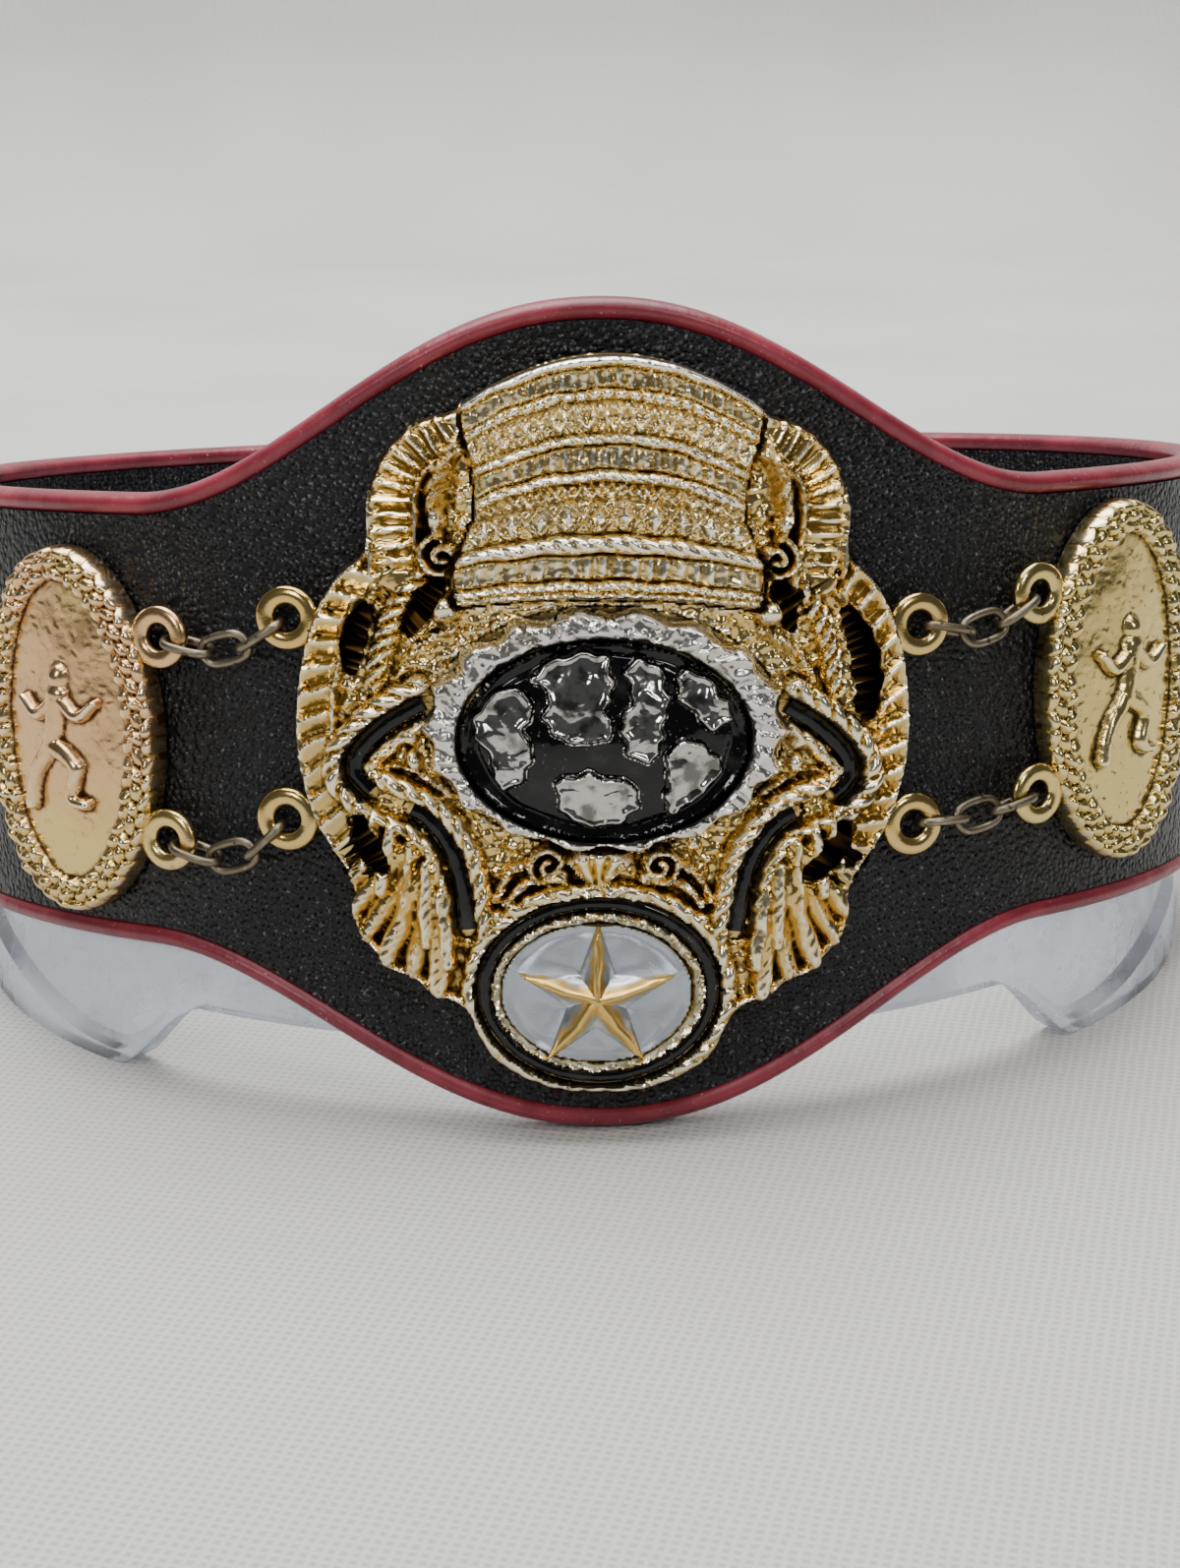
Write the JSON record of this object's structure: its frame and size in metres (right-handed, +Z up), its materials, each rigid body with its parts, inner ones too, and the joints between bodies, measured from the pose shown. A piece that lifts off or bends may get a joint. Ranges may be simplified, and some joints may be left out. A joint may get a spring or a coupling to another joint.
{
  "type": "miniature championship title belt on clear display stand",
  "caption": "Miniature title belt in a closed loop: black strap with red edge beads, pierced gold plate, oval side plates and short chains, standing on a low clear ring.",
  "frame": {"origin": "centre of the footprint, on the surface that the belt and its ring stand on", "axes": "+X to the right across the loop seen from the front, +Y from the front lobe to the back, +Z up"},
  "size_m": [0.0902, 0.0832, 0.0496],
  "materials": {
    "strap_leather": "fine woven emboss, satin",
    "red_piping": "semi-gloss rolled bead",
    "gold": "bright gold plating with dark recesses",
    "silver": "hammered plated silver",
    "satin_silver": "satin silver paint",
    "black_enamel": "glossy black enamel",
    "copper_brass": "coppery worn brass",
    "yellow_brass": "yellow brass with dark specks",
    "antique_chain": "antique grey-brown",
    "clear_plastic": "clear moulded plastic, glossy"
  },
  "bodies": {
    "root": {"strap": "strap_leather", "piping_top": "red_piping", "piping_bottom": "red_piping", "snap_upper": "gold", "snap_lower": "gold", "main_plate": "gold", "crown": "gold", "globe_frame": "silver", "globe_enamel": "black_enamel", "land_1": "silver", "land_2": "silver", "land_3": "silver", "land_4": "silver", "land_5": "silver", "land_6": "silver", "star_field": "satin_silver", "star": "gold", "enamel_ring": "black_enamel", "enamel_side_right": "black_enamel", "enamel_side_left": "black_enamel", "enamel_lower_right": "black_enamel", "enamel_lower_left": "black_enamel", "side_plate_left": "copper_brass", "side_plate_right": "yellow_brass", "link_left_upper_1": "antique_chain", "link_left_upper_2": "antique_chain", "link_left_upper_3": "antique_chain", "link_left_lower_1": "antique_chain", "link_left_lower_2": "antique_chain", "link_left_lower_3": "antique_chain", "link_right_upper_1": "antique_chain", "link_right_upper_2": "antique_chain", "link_right_upper_3": "antique_chain", "link_right_lower_1": "antique_chain", "link_right_lower_2": "antique_chain", "link_right_lower_3": "antique_chain", "display_ring": "clear_plastic"}
  },
  "joints": []
}
